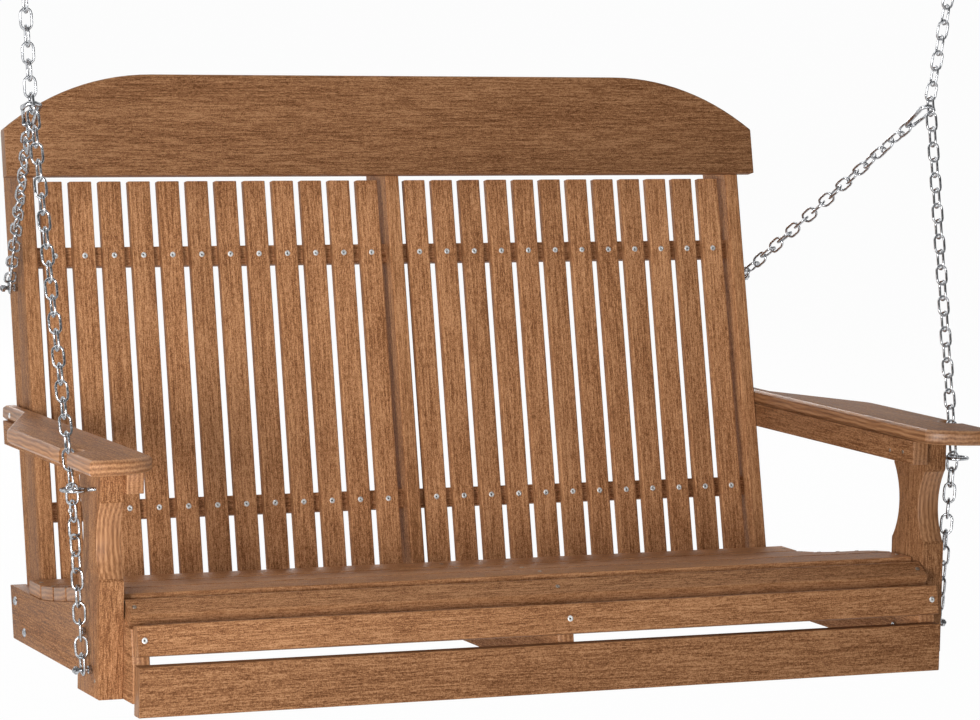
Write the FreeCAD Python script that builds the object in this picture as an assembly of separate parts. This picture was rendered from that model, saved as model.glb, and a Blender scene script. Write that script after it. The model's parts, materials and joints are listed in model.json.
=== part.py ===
import FreeCAD, Part
import math
import os
from FreeCAD import Vector

# High-back porch swing of recycled plastic lumber, hung on four lengths of zinc chain.
# It is drawn level, as it stands on a bench, in seat axes: X across the swing, Y from the apron
# to the back, Z up from the apron's lower edge. At the end everything is turned to hang with
# its back tilted down, and moved so that the origin lies midway between the two ceiling hooks.
# All sizes are in millimetres and all angles in degrees.

# Lumber and running clearances
BOARD = 28.6
SLAT_THICKNESS = 25.4
POST_THICKNESS = 44.5
RAIL_THICKNESS = 31.8
BACK_SLAT_THICKNESS = 15.9
EDGE_ROUND = 4.0
CREST_EASE = 2.5
SOFT_ROUND = 2.5
SLAT_ROUND = 3.2
SEAT_GAP = 0.3

# Seat frame
SEAT_WIDTH = 1587.5
APRON_HEIGHT = 88.9
RAIL_BOTTOM = 20.5
RAIL_REAR_TOP = 119.8
RAIL_TAIL = 1.0
FRONT_SLAT_HEIGHT = 55.0
FRONT_SLAT_LEAN = 13.0
FRONT_SLAT_FOOT = (6.0, 107.5)
NOSE_SLAT_WIDTH = 46.0
NOSE_SLAT_SLOPE = 33.0
NOSE_REAR_FOOT = (103.8, 175.5)
SEAT_SLAT_WIDTH = 71.4
SEAT_SLAT_GAP = 6.4
SEAT_REAR_EDGE = 650.0
SLAT_END_INSET = 3.2
SEAT_SLOPES = (0.0, 6.7, 8.5, 9.5, 9.0, 6.6, 0.3)

# Back
BACK_LEAN = 13.0
BACK_PLANE_Y = 678.5
BACK_PLANE_Z = 200.0
STILE_DEPTH = 104.0
STILE_PROUD = 8.0
STILE_FOOT_GAP = 3.0
SLATS_PER_BAY = 12
BACK_SLAT_WIDTH = 44.5
BACK_SLAT_TOP = 699.0
BACK_SLAT_FOOT = -76.0
BACK_RAIL_HEIGHT = 37.0
UPPER_RAIL_LOW = 537.0
LOWER_RAIL_LOW = 50.0

# Crest rail
CREST_HALF_WIDTH = 794.0
CREST_THICKNESS = 25.4
CREST_FRONT = 25.0
CREST_FOOT = 706.5
CREST_END_TOP = 797.5
CREST_TOP = 904.0
CREST_SHOULDER_RADIUS = 480.0

# Arms, posts and arm rails
ARM_TOP = 455.5
ARM_THICKNESS = 28.1
ARM_EASE = 5.5
ARM_WIDTH = 129.0
ARM_NOTCH_RADIUS = 24.0
ARM_NOTCH_INSET = 9.0
ARM_TAIL_WIDTH = 28.6
ARM_TAIL_END = 829.0
ARM_CLIP_REAR = 708.0
ARM_CLIP_FRONT = 470.0
ARM_CLIP_ROUND = 60.0
ARM_FRONT_INNER = 30.0
ARM_FRONT_OUTER = -19.0
ARM_BOW_IN = 70.0
ARM_BOW_REACH = -17.0
POST_FRONT = 80.0
POST_WIDTH = 121.0
POST_CUT_LOW = 228.0
POST_CUT_HIGH = 372.0
POST_CUT_DEPTH = 24.0
ARM_RAIL_HEIGHT = 44.5
ARM_RAIL_FRONT = 72.0
ARM_RAIL_REAR_CUT = 12.0

# Chain and its fittings. The lower runs end on a bolt, with a nut on each side of the last link
WIRE = 4.9
LINK_PITCH = 30.2
LINK_WIDTH = 22.5
LINK_PLAY = 0.3
HINGE_PLAY = 0.4
BAR_FULLNESS = 1.05
UPPER_LINKS = 8
MAIN_LINKS = 23
LOWER_LINKS = 11
REAR_LINKS = 20
MAIN_LEAN_BACK = 14.6
MAIN_LEAN_OUT = 2.2
UPPER_LEAN_OUT = 6.0
RING_WIRE = 6.4
RING_OUTER = 50.0
RING_REACH = 39.6
RING_BELOW_KINK = 9.0
RING_Y = 110.5
RING_Z = 388.4
RING_SCREW_DEPTH = 30.0
ANCHOR_BOLT = 8.0
BOLT_PROUD = 3.0
ANCHOR_SPAN = 18.0
CLIP_PLAY = 0.7
BOLT_PLAY = 0.8
NUT_WIDTH = 13.0
NUT_HEIGHT = 6.8
CARABINER_WIRE = 8.0
CARABINER_LENGTH = 80.0
CARABINER_WIDE = 38.0
CARABINER_NARROW = 25.0
GATE_WIRE = 6.4
GATE_TIP = 5.0
GATE_HEEL = 4.0
GATE_GAP = 1.5
HOOK_WIRE = 9.5
HOOK_INNER = 13.0
HOOK_DROP = 62.0
HOOK_SCREW = 70.0
HOOK_NECK = 9.0
HOOK_MOUTH = 215
HOOK_THROAT = -40
HOLE_PLAY = 0.25
FRAME_BOLT = 8.0
FRAME_BOLT_HEAD = 18.0
FRAME_BOLT_RISE = 4.0

# Hanging position
SEAT_TILT = 6.6


# Places that follow from the sizes
HALF = SEAT_WIDTH / 2
RAIL_OUTER = HALF + SLAT_END_INSET
RAIL_INNER = RAIL_OUTER - RAIL_THICKNESS
STILE_INNER = RAIL_INNER - BOARD
POST_INNER = RAIL_OUTER
POST_OUTER = POST_INNER + POST_THICKNESS
POST_REAR = POST_FRONT + POST_WIDTH
ARM_BOTTOM = ARM_TOP - ARM_THICKNESS
ARM_INNER = RAIL_INNER
ARM_OUTER = ARM_INNER + ARM_WIDTH
BAR_FLAT = BAR_FULLNESS * math.cos(math.radians(30))


def hold(bar, other, play=LINK_PLAY):
    """Distance between the middles of two six-sided bars that pull on each other, crossing."""
    return (bar + other) / 2 * BAR_FLAT + play


def unit(vector):
    return vector * (1.0 / vector.Length)


X_AXIS = Vector(1, 0, 0)
ROUND_SHARE = 1 - math.sqrt(0.5)
PEG_SIDES = 6
EAR_SIDES = 8
LINK_STRAIGHT = LINK_PITCH + hold(WIRE, WIRE)
LEAN = math.radians(BACK_LEAN)
BACK_UP = Vector(0, math.sin(LEAN), math.cos(LEAN))
BACK_IN = Vector(0, math.cos(LEAN), -math.sin(LEAN))
BACK_BASE = Vector(0, BACK_PLANE_Y, BACK_PLANE_Z)


def back_point(x, along, behind):
    """A point of the leaning back: across, up along the slats, and behind their front faces."""
    return BACK_BASE + BACK_UP * along + BACK_IN * behind + Vector(x, 0, 0)


def prism_x(outline, x_low, x_high):
    """Extrude a closed (y, z) outline of straight sides across the swing."""
    points = [Vector(x_low, y, z) for y, z in outline]
    face = Part.Face(Part.makePolygon(points + points[:1]))
    return face.extrude(Vector(x_high - x_low, 0, 0))


def board(corner, across, up, width, height, length, radii):
    """A straight board of four-sided section, from one corner. Two flats ease each long edge."""
    places = [corner, corner + across * width, corner + across * width + up * height, corner + up * height]
    ways = [across, up, across * -1, up * -1]
    outline = []
    for index, place in enumerate(places):
        come, leave, radius = ways[index - 1], ways[index], radii[index]
        if radius > 0:
            middle = place + (leave - come) * (radius * ROUND_SHARE)
            outline += [place - come * radius, middle, place + leave * radius]
        else:
            outline.append(place)
    return Part.Face(Part.makePolygon(outline + outline[:1])).extrude(across.cross(up) * length)


def cross_board(foot, slope, width, thickness, x_low, x_high):
    """A board across the swing. foot is its lower rear corner (y, z); slope lowers its front edge."""
    angle = math.radians(slope)
    forward = Vector(0, -math.cos(angle), -math.sin(angle))
    upward = Vector(0, -math.sin(angle), math.cos(angle))
    corner = Vector(x_high, foot[0], foot[1])
    return board(corner, forward, upward, width, thickness, x_high - x_low, [EDGE_ROUND] * 4)


def regular(start, axis, flats, length, sides):
    """A straight bar or nut with an even number of sides, this wide over its flats, along one axis."""
    side = unit(axis.cross(Vector(0, 0, 1)))
    other = axis.cross(side)
    reach = flats / 2 / math.cos(math.pi / sides)
    corners = []
    for step in range(sides + 1):
        angle = 2 * math.pi * step / sides
        corners.append(start + side * (reach * math.cos(angle)) + other * (reach * math.sin(angle)))
    corners[-1] = corners[0]
    return Part.Face(Part.makePolygon(corners)).extrude(axis * length)


def drill(solid, x_low, x_high, y, z, radius):
    """Cut a plain hole across the swing through a solid."""
    return solid.cut(regular(Vector(x_low, y, z), X_AXIS, radius * 2, x_high - x_low, PEG_SIDES))


# The seat's line: each slat lies on its own straight facet of the rail


def seat_facets():
    """Front end and slope of each seat slat's facet, walked from the back to the nose."""
    facets, y, z = [], SEAT_REAR_EDGE, RAIL_REAR_TOP
    for slope in SEAT_SLOPES:
        angle = math.radians(slope)
        pitch = SEAT_SLAT_WIDTH + SEAT_SLAT_GAP
        facets.append((y, z, slope))
        y -= pitch * math.cos(angle)
        z += pitch * math.sin(angle)
    return facets, (y, z)


def rail_outline():
    """Side view of a seat rail, from its front foot round by the back."""
    facets, crown = seat_facets()
    lean = math.radians(FRONT_SLAT_LEAN)
    nose = math.radians(NOSE_SLAT_SLOPE)
    front_plane = FRONT_SLAT_FOOT[0] + SLAT_THICKNESS * math.cos(lean)
    front_level = FRONT_SLAT_FOOT[1] - SLAT_THICKNESS * math.sin(lean)
    ledge = NOSE_REAR_FOOT[1] - NOSE_SLAT_WIDTH * math.sin(nose)
    ledge_front = front_plane + (ledge - front_level) * math.tan(lean)
    nose_front = (NOSE_REAR_FOOT[0] - NOSE_SLAT_WIDTH * math.cos(nose), ledge)
    outline = [(BOARD, RAIL_BOTTOM), (BOARD, APRON_HEIGHT)]
    outline += [(front_plane, front_level), (ledge_front, ledge), nose_front, NOSE_REAR_FOOT]
    outline += [crown] + [(y, z) for y, z, slope in reversed(facets)]
    stile_rear = STILE_DEPTH - STILE_PROUD
    for level in (RAIL_REAR_TOP, RAIL_BOTTOM):
        outline.append((stile_line(stile_rear, level) + RAIL_TAIL, level))
    return outline


def stile_line(behind, z):
    """Depth (y) of a line of the leaning back at height z."""
    start = back_point(0, 0, behind)
    return start.y + (z - start.z) * math.tan(LEAN)


# Anchors of the chains, for the right side (positive x)
RING_CLEAR = RING_OUTER / 2 - RING_WIRE
LINK_SWAY = math.sqrt(RING_CLEAR**2 - (LINK_WIDTH / 2 + SEAT_GAP) ** 2) - WIRE / 2 - 2 * SEAT_GAP
KINK = Vector(POST_OUTER + RING_REACH, RING_Y + LINK_SWAY, RING_Z + RING_BELOW_KINK)
ANCHOR_X = POST_OUTER + NUT_HEIGHT + ANCHOR_SPAN / 2
REAR_ANCHOR_X = RAIL_INNER + NUT_HEIGHT + ANCHOR_SPAN / 2
BOLT_HOLD = (WIRE * BAR_FLAT + ANCHOR_BOLT) / 2 + BOLT_PLAY


def lean_vector(out, back):
    """Direction upwards, leaning out and back."""
    return unit(Vector(math.tan(math.radians(out)), math.tan(math.radians(back)), 1.0))


MAIN_UP = lean_vector(MAIN_LEAN_OUT, MAIN_LEAN_BACK)
JUNCTION = KINK + MAIN_UP * (LINK_PITCH * MAIN_LINKS)
LOWER_RUN = LINK_PITCH * LOWER_LINKS + hold(WIRE, WIRE) - BOLT_HOLD
LOWER_DROP = math.sqrt(LOWER_RUN**2 - (KINK.x - ANCHOR_X) ** 2)
FRONT_BOLT = Vector(ANCHOR_X, KINK.y, KINK.z - LOWER_DROP)
CLIP_REACH = CARABINER_LENGTH - CARABINER_WIRE - hold(WIRE, CARABINER_WIRE)


def rear_run():
    """Slide the rear bolt along the stile until a whole number of links spans the run."""
    rearward = unit(X_AXIS.cross(MAIN_UP)) * -1
    shift = (LINK_WIDTH - WIRE) / 2 - hold(WIRE, CARABINER_WIRE, CLIP_PLAY)
    clip = JUNCTION - MAIN_UP * (LINK_STRAIGHT / 2) + rearward * shift
    reach = CLIP_REACH + LINK_PITCH * REAR_LINKS + hold(WIRE, WIRE) - BOLT_HOLD
    low, high = 300.0, 640.0
    for _ in range(50):
        middle = (low + high) / 2
        bolt = back_point(REAR_ANCHOR_X, middle, STILE_DEPTH / 2 - STILE_PROUD)
        if (bolt - clip).Length > reach:
            low = middle
        else:
            high = middle
    return clip, bolt


REAR_CLIP, REAR_BOLT = rear_run()
REAR_DOWN = unit(REAR_BOLT - REAR_CLIP)


# Bent bars: links, rings and hooks all have a six-sided section


def ring_section(point, tangent_in, tangent_out, normal, radius):
    """Six corners round a path point, on the plane that halves the bend."""
    tangent = unit(tangent_in + tangent_out)
    side = unit(normal.cross(tangent))
    stretch = 1.0 / max(0.5, tangent.dot(tangent_in))
    corners = []
    for step in range(6):
        angle = math.radians(60 * step + 30)
        outward = side * (stretch * math.cos(angle)) + normal * math.sin(angle)
        corners.append(point + outward * radius)
    return corners


def flat_faces(loops, closed):
    """A solid from rings of corners, with four-sided faces between them."""
    faces = []
    count = len(loops)
    spans = count if closed else count - 1
    for index in range(spans):
        here, there = loops[index], loops[(index + 1) % count]
        for side in range(6):
            after = (side + 1) % 6
            corners = [here[side], here[after], there[after], there[side], here[side]]
            faces.append(Part.Face(Part.makePolygon(corners)))
    if not closed:
        faces += [Part.Face(Part.makePolygon(loop + loop[:1])) for loop in (loops[0], loops[-1])]
    solid = Part.Solid(Part.Shell(faces))
    if solid.Volume < 0:
        solid.reverse()
    return solid


def bent_bar(path, normal, diameter, closed=False):
    """A bar of six-sided section along a flat path of points."""
    radius = diameter / 2 * BAR_FULLNESS
    loops, count = [], len(path)
    for index, point in enumerate(path):
        before = path[index - 1] if closed or index else None
        after = path[(index + 1) % count] if closed or index < count - 1 else None
        come = unit(point - before) if before else unit(after - point)
        leave = unit(after - point) if after else come
        loops.append(ring_section(point, come, leave, normal, radius))
    return flat_faces(loops, closed)


def arc_points(middle, start_side, end_side, radius, first, last, steps):
    """Points round an arc in the plane of two unit vectors, from one angle to another, outside it."""
    reach = radius / math.cos(math.radians((last - first) / steps / 2))
    points = []
    for step in range(steps):
        angle = math.radians(first + (last - first) * (step + 0.5) / steps)
        outward = start_side * math.cos(angle) + end_side * math.sin(angle)
        points.append(middle + outward * reach)
    return points


def chain_link(start, along, face_normal):
    """One welded link. start is the wire's centre at its first crown, and along runs to the other."""
    side = unit(face_normal.cross(along))
    half = (LINK_WIDTH - WIRE) / 2
    near = start + along * half
    far = start + along * (LINK_STRAIGHT - half)
    path = arc_points(near, side, along * -1, half, 0, 180, 3)
    path += arc_points(far, side * -1, along, half, 0, 180, 3)
    return bent_bar(path, unit(face_normal), WIRE, closed=True)


def chain_run(first_crown, along, count, face, twist=0.0):
    """Links in a row. Each stands a quarter turn from the last, with the same small twist besides."""
    across = unit(face - along * face.dot(along))
    other = unit(along.cross(across))
    links = []
    for index in range(count):
        angle = math.radians(90 * (index % 2) + twist * index)
        normal = across * math.cos(angle) + other * math.sin(angle)
        start = first_crown + along * (LINK_PITCH * index)
        links.append(chain_link(start, along, normal))
    return links


def mirrored(shape):
    return shape.mirror(Vector(0, 0, 0), X_AXIS)


def group(shapes):
    return Part.makeCompound(shapes)


# Seat


def seat_rail(x_low, x_high):
    """A seat rail; the outer two are bolted to the stiles, and carry a post."""
    rail = prism_x(rail_outline(), x_low, x_high)
    for y, z in rail_bolt_places():
        rail = drill(rail, x_low, x_high, y, z, FRAME_BOLT / 2 + HOLE_PLAY)
    return rail


def rail_bolt_places():
    """The two bolts through a rail and its stile: (y, z)."""
    low, high = RAIL_BOTTOM + 22.0, RAIL_REAR_TOP - 26.0
    return [
        (stile_line(STILE_DEPTH * 0.75 - STILE_PROUD, high), high),
        (stile_line(STILE_DEPTH * 0.3 - STILE_PROUD, low), low),
    ]


def outer_seat_rail():
    """The right rail, also drilled for the post's bolts."""
    rail = seat_rail(RAIL_INNER, RAIL_OUTER)
    for y, z in post_bolt_places():
        rail = drill(rail, RAIL_INNER, RAIL_OUTER, y, z, ANCHOR_BOLT / 2 + HOLE_PLAY)
    return rail


def post_bolt_places():
    """The chain's bolt and the one above it, through post and rail: (y, z)."""
    return [(FRONT_BOLT.y, FRONT_BOLT.z), (POST_REAR - POST_WIDTH / 3, FRONT_BOLT.z + 62.0)]


def seat_slats():
    slats = []
    facets, _ = seat_facets()
    for y, z, slope in facets:
        slats.append(cross_board((y, z), -slope, SEAT_SLAT_WIDTH, SLAT_THICKNESS, -HALF, HALF))
    return slats


def nose_slat():
    return cross_board(NOSE_REAR_FOOT, NOSE_SLAT_SLOPE, NOSE_SLAT_WIDTH, SLAT_THICKNESS, -HALF, HALF)


def front_slat():
    """Leans back on the rails' fronts, above the apron."""
    lean = math.radians(FRONT_SLAT_LEAN)
    up = Vector(0, math.sin(lean), math.cos(lean))
    rearward = Vector(0, math.cos(lean), -math.sin(lean))
    corner = Vector(-HALF, FRONT_SLAT_FOOT[0], FRONT_SLAT_FOOT[1])
    return board(corner, rearward, up, SLAT_THICKNESS, FRONT_SLAT_HEIGHT, SEAT_WIDTH, [EDGE_ROUND] * 4)


def apron():
    corner, rearward, up = Vector(-HALF, 0, 0), Vector(0, 1, 0), Vector(0, 0, 1)
    return board(corner, rearward, up, BOARD, APRON_HEIGHT, SEAT_WIDTH, [SOFT_ROUND] * 4)


# Back


def stile(x_low, x_high):
    """A stile on edge, let back at the top for the crest rail."""
    front, rear = -STILE_PROUD, STILE_DEPTH - STILE_PROUD
    foot_level = RAIL_BOTTOM + STILE_FOOT_GAP
    crest_rear = CREST_THICKNESS - CREST_FRONT + SEAT_GAP
    top = CREST_END_TOP - 6.0
    step = CREST_FOOT - SEAT_GAP
    corners = [back_point(0, step, front), back_point(0, step, crest_rear)]
    corners += [back_point(0, top, crest_rear), back_point(0, top, rear)]
    outline = [(stile_line(front, foot_level), foot_level)]
    outline += [(corner.y, corner.z) for corner in corners]
    outline += [(stile_line(rear, foot_level), foot_level)]
    solid = prism_x(outline, x_low, x_high)
    long_edges = []
    for edge in solid.Edges:
        across = abs(edge.tangentAt(edge.FirstParameter).x) > 0.5
        if edge.Length > CREST_FOOT and not across:
            long_edges.append(edge)
    return solid.makeChamfer(SOFT_ROUND, long_edges)


def centre_stile():
    solid = stile(-BOARD / 2, BOARD / 2)
    for y, z in rail_bolt_places():
        solid = drill(solid, -BOARD / 2, BOARD / 2, y, z, FRAME_BOLT / 2 + HOLE_PLAY)
    return solid


def outer_stile():
    solid = stile(STILE_INNER, RAIL_INNER)
    for y, z in rail_bolt_places():
        solid = drill(solid, STILE_INNER, RAIL_INNER, y, z, FRAME_BOLT / 2 + HOLE_PLAY)
    return drill(solid, STILE_INNER, RAIL_INNER, REAR_BOLT.y, REAR_BOLT.z, ANCHOR_BOLT / 2 + HOLE_PLAY)


def back_rail(along, x_low, x_high):
    """A rail between two stiles, behind the slats."""
    corner = back_point(x_low, along, BACK_SLAT_THICKNESS)
    radii = [0, SOFT_ROUND, SOFT_ROUND, 0]
    return board(corner, BACK_IN, BACK_UP, BOARD, BACK_RAIL_HEIGHT, x_high - x_low, radii)


def bay_slats(x_low, x_high):
    """Twelve slats spaced evenly between two stiles."""
    gap = (x_high - x_low - SLATS_PER_BAY * BACK_SLAT_WIDTH) / (SLATS_PER_BAY + 1)
    slats = []
    for index in range(SLATS_PER_BAY):
        x = x_low + gap + index * (BACK_SLAT_WIDTH + gap)
        corner = back_point(x, BACK_SLAT_FOOT, 0)
        length = BACK_SLAT_TOP - BACK_SLAT_FOOT
        radii = [SLAT_ROUND, SLAT_ROUND, 0, 0]
        slats.append(board(corner, X_AXIS, BACK_IN, BACK_SLAT_WIDTH, BACK_SLAT_THICKNESS, length, radii))
    return slats


def crest_rail():
    """The wide top board, with long round shoulders down to square ends."""
    radius = CREST_SHOULDER_RADIUS
    drop = CREST_TOP - CREST_END_TOP
    run = math.sqrt(radius**2 - (radius - drop) ** 2)
    tangent_x = CREST_HALF_WIDTH - run
    half_run = radius * math.sin(math.asin(run / radius) / 2)
    half_drop = radius - math.sqrt(radius**2 - half_run**2)
    front = -CREST_FRONT

    def at(x, along):
        return back_point(x, along, front)

    end, shoulder = CREST_HALF_WIDTH, tangent_x + half_run
    edges = [
        Part.LineSegment(at(-end, CREST_FOOT), at(end, CREST_FOOT)),
        Part.LineSegment(at(end, CREST_FOOT), at(end, CREST_END_TOP)),
        Part.Arc(at(end, CREST_END_TOP), at(shoulder, CREST_TOP - half_drop), at(tangent_x, CREST_TOP)),
        Part.LineSegment(at(tangent_x, CREST_TOP), at(-tangent_x, CREST_TOP)),
        Part.Arc(at(-tangent_x, CREST_TOP), at(-shoulder, CREST_TOP - half_drop), at(-end, CREST_END_TOP)),
        Part.LineSegment(at(-end, CREST_END_TOP), at(-end, CREST_FOOT)),
    ]
    face = Part.Face(Part.Wire([edge.toShape() for edge in edges]))
    solid = face.extrude(BACK_IN * CREST_THICKNESS)
    return solid.makeChamfer(CREST_EASE, [edge for edge in solid.Edges if crest_top_edge(edge)])


def crest_top_edge(edge):
    """Whether an edge of the crest rail is one of those along its top, front or rear."""
    middle = edge.valueAt((edge.FirstParameter + edge.LastParameter) / 2)
    along = (middle - BACK_BASE).dot(BACK_UP)
    across = abs(edge.tangentAt(edge.FirstParameter).x) > 0.5
    return across and along > CREST_END_TOP


# Arms


def arm():
    """The right arm: bowed front, notch for the chain, clipped rear corner and a narrow tail."""
    tail_outer = ARM_INNER + ARM_TAIL_WIDTH
    rise = (ARM_TOP + ARM_BOTTOM) / 2 - KINK.z
    notch_y = KINK.y + rise * math.tan(math.radians(MAIN_LEAN_BACK))
    mouth = math.sqrt(ARM_NOTCH_RADIUS**2 - ARM_NOTCH_INSET**2)

    def at(x, y):
        return Vector(x, y, ARM_BOTTOM)

    bow = at(ARM_INNER + ARM_BOW_IN, ARM_BOW_REACH)
    deepest = at(ARM_OUTER - ARM_NOTCH_INSET - ARM_NOTCH_RADIUS, notch_y)
    edges = [
        Part.Arc(at(ARM_INNER, ARM_FRONT_INNER), bow, at(ARM_OUTER, ARM_FRONT_OUTER)),
        Part.LineSegment(at(ARM_OUTER, ARM_FRONT_OUTER), at(ARM_OUTER, notch_y - mouth)),
        Part.Arc(at(ARM_OUTER, notch_y - mouth), deepest, at(ARM_OUTER, notch_y + mouth)),
        Part.LineSegment(at(ARM_OUTER, notch_y + mouth), at(ARM_OUTER, ARM_CLIP_FRONT)),
        Part.LineSegment(at(ARM_OUTER, ARM_CLIP_FRONT), at(tail_outer, ARM_CLIP_REAR)),
        Part.LineSegment(at(tail_outer, ARM_CLIP_REAR), at(tail_outer, ARM_TAIL_END)),
        Part.LineSegment(at(tail_outer, ARM_TAIL_END), at(ARM_INNER, ARM_TAIL_END)),
        Part.LineSegment(at(ARM_INNER, ARM_TAIL_END), at(ARM_INNER, ARM_FRONT_INNER)),
    ]
    face = Part.Face(Part.Wire([edge.toShape() for edge in edges]))
    solid = face.extrude(Vector(0, 0, ARM_THICKNESS))
    clip = [edge for edge in solid.Edges if arm_clip_edge(edge)]
    solid = solid.makeFillet(ARM_CLIP_ROUND, clip)
    rim = [edge for edge in solid.Edges if abs(edge.tangentAt(edge.FirstParameter).z) < 0.1]
    return solid.makeChamfer(ARM_EASE, rim)


def arm_clip_edge(edge):
    """Whether an edge of the arm stands upright where the clipped corner starts."""
    start = edge.valueAt(edge.FirstParameter)
    upright = abs(edge.tangentAt(edge.FirstParameter).z) > 0.5
    return upright and abs(start.y - ARM_CLIP_FRONT) < 0.01 and abs(start.x - ARM_OUTER) < 0.01


def arm_post():
    """The right post: a square block at each end, hollowed front and rear between them."""
    middle = (POST_CUT_LOW + POST_CUT_HIGH) / 2

    def at(y, z):
        return Vector(POST_INNER, y, z)

    front, rear, depth = POST_FRONT, POST_REAR, POST_CUT_DEPTH
    edges = [
        Part.LineSegment(at(front, RAIL_BOTTOM), at(front, POST_CUT_LOW)),
        Part.Arc(at(front, POST_CUT_LOW), at(front + depth, middle), at(front, POST_CUT_HIGH)),
        Part.LineSegment(at(front, POST_CUT_HIGH), at(front, ARM_BOTTOM)),
        Part.LineSegment(at(front, ARM_BOTTOM), at(rear, ARM_BOTTOM)),
        Part.LineSegment(at(rear, ARM_BOTTOM), at(rear, POST_CUT_HIGH)),
        Part.Arc(at(rear, POST_CUT_HIGH), at(rear - depth, middle), at(rear, POST_CUT_LOW)),
        Part.LineSegment(at(rear, POST_CUT_LOW), at(rear, RAIL_BOTTOM)),
        Part.LineSegment(at(rear, RAIL_BOTTOM), at(front, RAIL_BOTTOM)),
    ]
    face = Part.Face(Part.Wire([edge.toShape() for edge in edges]))
    post = face.extrude(Vector(POST_THICKNESS, 0, 0))
    for y, z in post_bolt_places():
        post = drill(post, POST_INNER, POST_OUTER, y, z, ANCHOR_BOLT / 2 + HOLE_PLAY)
    bore = RING_WIRE / 2 * BAR_FULLNESS + HOLE_PLAY
    return drill(post, POST_OUTER - RING_SCREW_DEPTH - 1.0, POST_OUTER, RING_Y, RING_Z, bore)


def arm_rail():
    """Runs under the arm from the post to the outer side of the stile."""
    low = ARM_BOTTOM - ARM_RAIL_HEIGHT
    rear = STILE_DEPTH - STILE_PROUD - ARM_RAIL_REAR_CUT
    outline = [
        (ARM_RAIL_FRONT, low),
        (ARM_RAIL_FRONT, ARM_BOTTOM),
        (stile_line(rear, ARM_BOTTOM), ARM_BOTTOM),
        (stile_line(rear, low), low),
    ]
    return prism_x(outline, RAIL_INNER, RAIL_OUTER)


# Hardware of the right side


def hexagon_nut(x, y, z, height, bore):
    """A plain nut with its axis across the swing."""
    nut = regular(Vector(x, y, z), X_AXIS, NUT_WIDTH, height, 6)
    return drill(nut, x, x + height, y, z, bore) if bore > 0 else nut


def shank(x_low, x_high, y, z, diameter):
    """A bolt's shank across the swing."""
    return regular(Vector(x_low, y, z), X_AXIS, diameter, x_high - x_low, PEG_SIDES)


def anchor_bolt(x_head, x_end, y, z):
    """A bolt with its head towards the middle of the seat, one solid."""
    height = NUT_HEIGHT * 0.8
    head = hexagon_nut(x_head - height, y, z, height, 0)
    return head.fuse(shank(x_head, x_end, y, z, ANCHOR_BOLT))


def anchor_nuts():
    """Nuts on both sides of each run's last link, and on the post's upper bolt."""
    bore = ANCHOR_BOLT / 2 + HOLE_PLAY
    nuts = []
    for bolt in (FRONT_BOLT, REAR_BOLT):
        for x in (bolt.x - ANCHOR_SPAN / 2 - NUT_HEIGHT, bolt.x + ANCHOR_SPAN / 2):
            nuts.append(hexagon_nut(x, bolt.y, bolt.z, NUT_HEIGHT, bore))
    y, z = post_bolt_places()[1]
    nuts.append(hexagon_nut(POST_OUTER, y, z, NUT_HEIGHT, bore))
    return nuts


def front_bolt():
    end = FRONT_BOLT.x + ANCHOR_SPAN / 2 + NUT_HEIGHT + BOLT_PROUD
    return anchor_bolt(RAIL_INNER - 0.01, end, FRONT_BOLT.y, FRONT_BOLT.z)


def post_bolt():
    y, z = post_bolt_places()[1]
    return anchor_bolt(RAIL_INNER, POST_OUTER + NUT_HEIGHT + BOLT_PROUD, y, z)


def rear_bolt():
    end = REAR_BOLT.x + ANCHOR_SPAN / 2 + NUT_HEIGHT + BOLT_PROUD
    return anchor_bolt(STILE_INNER, end, REAR_BOLT.y, REAR_BOLT.z)


def frame_bolts(nut_face, head_face):
    """Round-headed bolts through a rail and its stile, with nuts on the far side."""
    bolts = []
    for y, z in rail_bolt_places():
        head = regular(Vector(head_face, y, z), X_AXIS, FRAME_BOLT_HEAD, FRAME_BOLT_RISE, EAR_SIDES)
        bolts.append(head.fuse(shank(nut_face - NUT_HEIGHT, head_face, y, z, FRAME_BOLT)))
        bolts.append(hexagon_nut(nut_face - NUT_HEIGHT, y, z, NUT_HEIGHT, FRAME_BOLT / 2 + HOLE_PLAY))
    return bolts


def guide_ring():
    """A screw eye with its ring lying level."""
    radius = (RING_OUTER - RING_WIRE) / 2
    centre = Vector(POST_OUTER + RING_REACH, RING_Y, RING_Z)
    up = Vector(0, 0, 1)
    circle = arc_points(centre, X_AXIS * -1, Vector(0, 1, 0), radius, -180, 180, 12)
    ring = bent_bar(circle, up, RING_WIRE, closed=True)
    screw_end = Vector(POST_OUTER - RING_SCREW_DEPTH, RING_Y, RING_Z)
    return ring.fuse(bent_bar([screw_end, centre - X_AXIS * radius], up, RING_WIRE))


def gate_side():
    """Direction from the carabiner's axis to the side that carries the gate, away from the seat."""
    return unit(X_AXIS - REAR_DOWN * X_AXIS.dot(REAR_DOWN))


def carabiner_path():
    """Corners of the pear shape, from the gate's tip round both ends to the gate's hinge."""
    along, side = REAR_DOWN, gate_side()
    wide = (CARABINER_WIDE - CARABINER_WIRE) / 2
    narrow = (CARABINER_NARROW - CARABINER_WIRE) / 2
    length = CARABINER_LENGTH - CARABINER_WIRE
    top = REAR_CLIP + along * wide
    foot = REAR_CLIP + along * (length - narrow)
    upper = arc_points(top, side, along * -1, wide, 0, 180, 4)
    lower = arc_points(foot, side * -1, along, narrow, 0, 180, 4)
    return upper, lower


def carabiner():
    """The fixed part: open on the side away from the seat, where the gate closes it."""
    upper, lower = carabiner_path()
    along, side = REAR_DOWN, gate_side()
    tip = upper[0] + along * GATE_TIP
    heel = lower[-1] - along * GATE_HEEL + side
    return bent_bar([tip] + upper + lower + [heel], unit(side.cross(along)), CARABINER_WIRE)


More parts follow.
